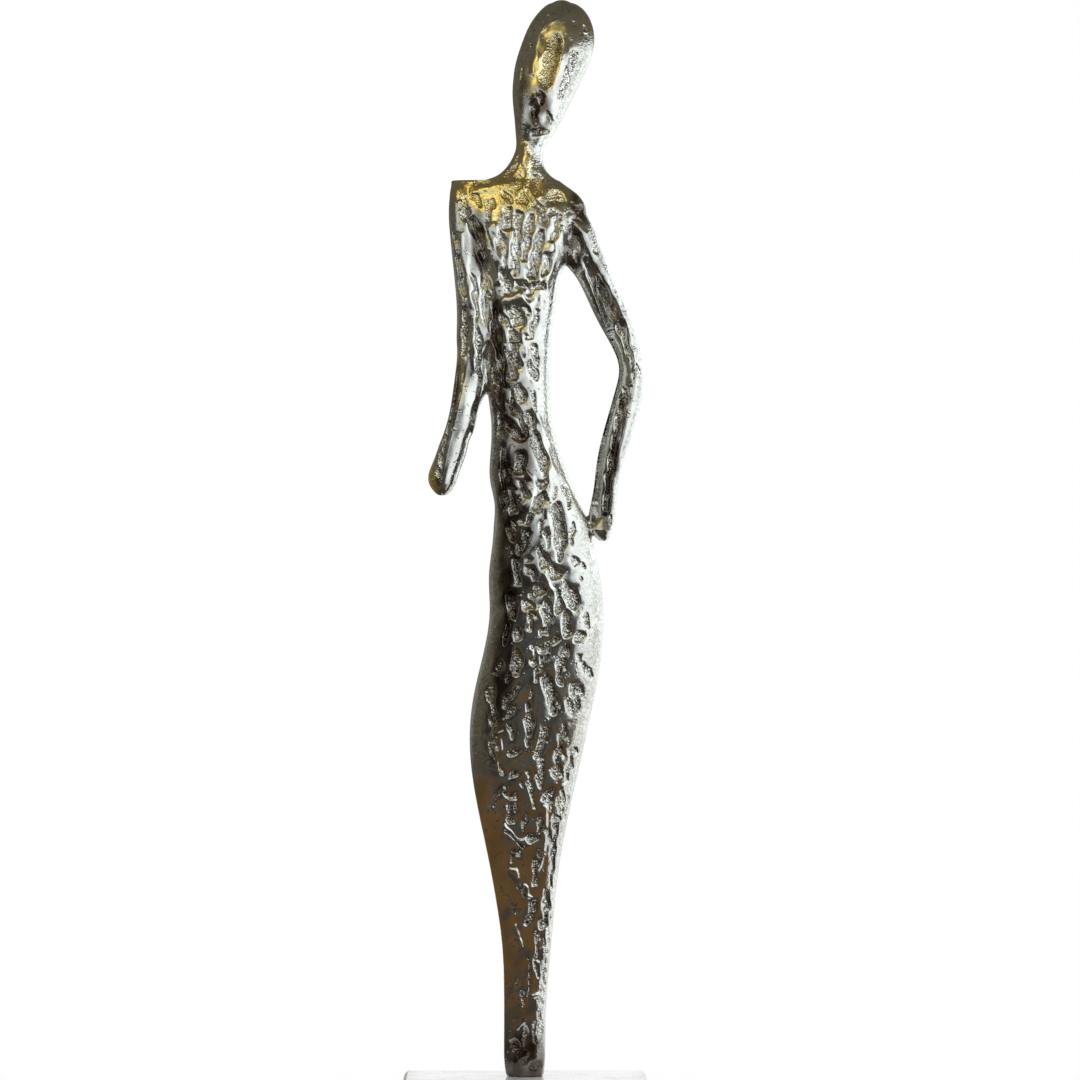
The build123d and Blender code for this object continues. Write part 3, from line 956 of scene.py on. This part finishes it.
for vertex in stud.data.vertices:
    spare = min(vertex.co.z - stud_low.z, stud_high.z - vertex.co.z)
    out = Vector((vertex.co.x - stud_middle.x, vertex.co.y - stud_middle.y))
    reach = min(out.length, root_radius - 0.15 * mm + spare)
    vertex.co.x = stud_middle.x + out.x / out.length * reach
    vertex.co.y = stud_middle.y + out.y / out.length * reach
bpy.ops.object.select_all(action="DESELECT")
stud.select_set(True)
bpy.context.view_layer.objects.active = stud
bpy.ops.object.shade_smooth_by_angle(angle=math.radians(25))
stud.data.materials.append(zinc)
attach(stud, "root")
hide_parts("fixing_stud")


# ---------------------------------------------------------------- rubber feet
# Four moulded bumpers of soft dark rubber stuck into the corners under the stone. Each
# tapers a little, has a rounded lip and a dished underside that grips like a sucker.
rubber = speckled_material(
    "dark_rubber",
    dark=(0.018, 0.018, 0.018),
    light=(0.040, 0.039, 0.038),
    rough=(0.55, 0.75),
    scale=1200,
    stretch=(1, 1, 1),
    height=0.08 * mm,
)
foot_taper = 0.93  # radius at the ground over radius at the stone
dish_share = 0.72
dish_depth = 0.5 * mm


def rubber_foot(node):
    """One bumper where the CAD node stands, on the floor and against the stone."""
    low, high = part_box(node)
    middle = (low + high) / 2
    bpy.ops.object.select_all(action="DESELECT")
    bpy.ops.mesh.primitive_cylinder_add(
        vertices=64, radius=(high.x - low.x) / 2, depth=high.z - low.z, end_fill_type="NGON", location=middle
    )
    piece = bpy.context.object
    piece.name = "bumper_" + node.removeprefix("rubber_foot_")
    bpy.ops.object.transform_apply(location=True, rotation=False, scale=False)
    bpy.ops.object.mode_set(mode="EDIT")
    bpy.ops.mesh.select_all(action="DESELECT")
    bpy.ops.object.mode_set(mode="OBJECT")
    for face in piece.data.polygons:
        face.select = face.normal.z < -0.9
    bpy.ops.object.mode_set(mode="EDIT")
    bpy.ops.transform.resize(value=(foot_taper, foot_taper, 1), center_override=middle)
    bpy.ops.mesh.bevel(offset=0.7 * mm, segments=4, affect="EDGES")
    bpy.ops.mesh.select_all(action="DESELECT")
    bpy.ops.object.mode_set(mode="OBJECT")
    for face in piece.data.polygons:
        face.select = face.normal.z < -0.99 and len(face.vertices) > 8
    bpy.ops.object.mode_set(mode="EDIT")
    bpy.ops.mesh.inset(thickness=(1 - dish_share) * (high.x - low.x) / 2)
    bpy.ops.mesh.inset(thickness=0.5 * mm)
    bpy.ops.transform.translate(value=(0, 0, dish_depth))
    bpy.ops.object.mode_set(mode="OBJECT")
    bpy.ops.object.shade_smooth_by_angle(angle=math.radians(40))
    piece.data.materials.append(rubber)
    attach(piece, "root")
    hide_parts(node)


for corner in ("front_left", "front_right", "back_left", "back_right"):
    rubber_foot("rubber_foot_" + corner)


# ---------------------------------------------------------------- studio
# A pale floor in a white room, and close round the figure a tent that only its reflections
# see: a cool window on the right, warm light at the head, a dim room, and wood below.
floor_half = 3.0
bpy.ops.object.select_all(action="DESELECT")
bpy.ops.mesh.primitive_plane_add(size=2 * floor_half, location=(0, 0, 0))
floor = bpy.context.object
floor.name = "floor"
floor.visible_glossy = False
paper = bpy.data.materials.new("floor_paper")
paper.use_nodes = True
paper_shader = paper.node_tree.nodes["Principled BSDF"]
paper_shader.inputs["Base Color"].default_value = (0.97, 0.97, 0.97, 1)
paper_shader.inputs["Roughness"].default_value = 1.0
paper_shader.inputs["Specular IOR Level"].default_value = 0.0
paper_shader.inputs["Emission Color"].default_value = (1, 1, 1, 1)
paper_shader.inputs["Emission Strength"].default_value = 0.04
floor.data.materials.append(paper)

tent_radius = 0.36
tent_half_height = 0.8
tent_middle = 0.3  # above the sole
bpy.ops.object.select_all(action="DESELECT")
bpy.ops.mesh.primitive_uv_sphere_add(
    segments=64, ring_count=32, radius=1, location=(0, 0, sole + tent_middle)
)
tent = bpy.context.object
tent.scale = (tent_radius, tent_radius, tent_half_height)
bpy.ops.object.transform_apply(location=False, rotation=False, scale=True)
tent.name = "light_tent"
tent.visible_camera = False
tent.visible_diffuse = False
tent.visible_shadow = False

tent_glow = bpy.data.materials.new("tent_glow")
tent_glow.use_nodes = True
tent_tree = tent_glow.node_tree
tent_tree.nodes.clear()
tent_place = tent_tree.nodes.new("ShaderNodeTexCoord")
tent_axes = tent_tree.nodes.new("ShaderNodeSeparateXYZ")
tent_tree.links.new(tent_place.outputs["Object"], tent_axes.inputs["Vector"])
tent_light = tent_tree.nodes.new("ShaderNodeEmission")
tent_out = tent_tree.nodes.new("ShaderNodeOutputMaterial")
tent_tree.links.new(tent_light.outputs["Emission"], tent_out.inputs["Surface"])


def tent_math(operation, a, b=0.0):
    """One sum of the tent's pattern."""
    sum_node = tent_tree.nodes.new("ShaderNodeMath")
    sum_node.operation = operation
    for slot, value in enumerate((a, b)):
        if isinstance(value, bpy.types.NodeSocket):
            tent_tree.links.new(value, sum_node.inputs[slot])
        else:
            sum_node.inputs[slot].default_value = value
    return sum_node.outputs[0]


def tent_rise(value, start, end):
    """0 before start and 1 after end, with a smooth step between; end may be the smaller."""
    step = tent_tree.nodes.new("ShaderNodeMapRange")
    step.interpolation_type = "SMOOTHSTEP"
    tent_tree.links.new(value, step.inputs["Value"])
    step.inputs["From Min"].default_value = min(start, end)
    step.inputs["From Max"].default_value = max(start, end)
    step.inputs["To Min"].default_value = float(start > end)
    step.inputs["To Max"].default_value = float(start < end)
    return step.outputs["Result"]


def tent_patch(turn, turn_soft, levels, level_soft):
    """A soft-edged patch of the tent: two azimuths in degrees and two heights in metres."""
    sides = tent_math(
        "MULTIPLY",
        tent_rise(azimuth, turn[0] - turn_soft, turn[0] + turn_soft),
        tent_rise(azimuth, turn[1] + turn_soft, turn[1] - turn_soft),
    )
    ends = tent_math(
        "MULTIPLY",
        tent_rise(level, levels[0] - level_soft, levels[0] + level_soft),
        tent_rise(level, levels[1] + level_soft, levels[1] - level_soft),
    )
    return tent_math("MULTIPLY", sides, ends)


def tent_card(base, mask, colour):
    """Lay one card of light over what the tent shows so far."""
    card = tent_tree.nodes.new("ShaderNodeMix")
    card.data_type = "RGBA"
    tent_tree.links.new(mask, card.inputs[0])
    tent_tree.links.new(base, card.inputs[6])
    card.inputs[7].default_value = (*colour, 1)
    return card.outputs[2]


azimuth = tent_math("ARCTAN2", tent_axes.outputs["X"], tent_math("MULTIPLY", tent_axes.outputs["Y"], -1.0))
azimuth = tent_math("MULTIPLY", azimuth, 180 / math.pi)
level = tent_math("ADD", tent_axes.outputs["Z"], tent_middle)

# What is straight ahead, by height above the sole in metres.
ahead = (
    (-0.40, (0.050, 0.046, 0.036)),
    (-0.06, (0.060, 0.057, 0.050)),
    (0.005, (0.060, 0.057, 0.050)),
    (0.030, (0.145, 0.080, 0.026)),
    (0.104, (0.130, 0.076, 0.030)),
    (0.128, (0.095, 0.092, 0.076)),
    (0.200, (0.085, 0.086, 0.076)),
    (0.250, (0.040, 0.044, 0.040)),
    (0.285, (0.026, 0.028, 0.026)),
    (0.325, (0.42, 0.44, 0.43)),
    (0.400, (0.88, 0.94, 0.92)),
    (0.510, (0.84, 0.90, 0.88)),
    (0.535, (0.24, 0.205, 0.12)),
    (0.620, (0.17, 0.145, 0.085)),
    (1.000, (0.10, 0.090, 0.065)),
)
bottom, top = ahead[0][0], ahead[-1][0]
room = tent_tree.nodes.new("ShaderNodeValToRGB")
while len(room.color_ramp.elements) < len(ahead):
    room.color_ramp.elements.new(0.5)
for element, (place, shade) in zip(room.color_ramp.elements, ahead):
    element.position = (place - bottom) / (top - bottom)
    element.color = (*shade, 1)
level_share = tent_tree.nodes.new("ShaderNodeMapRange")
level_share.inputs["From Min"].default_value = bottom
level_share.inputs["From Max"].default_value = top
tent_tree.links.new(level, level_share.inputs["Value"])
tent_tree.links.new(level_share.outputs["Result"], room.inputs["Fac"])

look = room.outputs["Color"]
cards = (
    ((-200, -14), 7, (0.15, 0.435), 0.02, (0.036, 0.029, 0.024)),
    ((-200, -55), 10, (0.16, 1.2), 0.03, (0.13, 0.117, 0.080)),
    ((-200, -115), 12, (0.16, 0.46), 0.03, (0.25, 0.245, 0.215)),
    ((26, 165), 8, (0.31, 0.585), 0.02, (1.35, 1.44, 1.43)),
    ((36, 165), 8, (0.16, 0.33), 0.02, (1.30, 1.38, 1.37)),
    ((62, 165), 8, (-0.05, 0.20), 0.03, (1.10, 1.13, 1.10)),
    ((84, 90), 5, (-0.05, 0.60), 0.03, (0.55, 0.57, 0.55)),
    ((-46, 6), 9, (0.54, 0.74), 0.03, (0.46, 0.37, 0.13)),
    ((-34, -6), 8, (0.555, 0.67), 0.03, (1.60, 1.34, 0.50)),
    ((166, 200), 4, (-0.5, 0.10), 0.02, (1.1, 1.1, 1.1)),
    ((-200, -166), 4, (-0.5, 0.10), 0.02, (1.1, 1.1, 1.1)),
)
for turn, turn_soft, levels, level_soft, colour in cards:
    look = tent_card(look, tent_patch(turn, turn_soft, levels, level_soft), colour)
tent_tree.links.new(look, tent_light.inputs["Color"])
tent.data.materials.append(tent_glow)

world = bpy.data.worlds.new("white_room")
world.use_nodes = True
world.node_tree.nodes["Background"].inputs["Color"].default_value = (1, 1, 1, 1)
world.node_tree.nodes["Background"].inputs["Strength"].default_value = 1.0
world.cycles.sampling_method = "NONE"
bpy.context.scene.world = world
bpy.context.scene.view_settings.view_transform = "Standard"
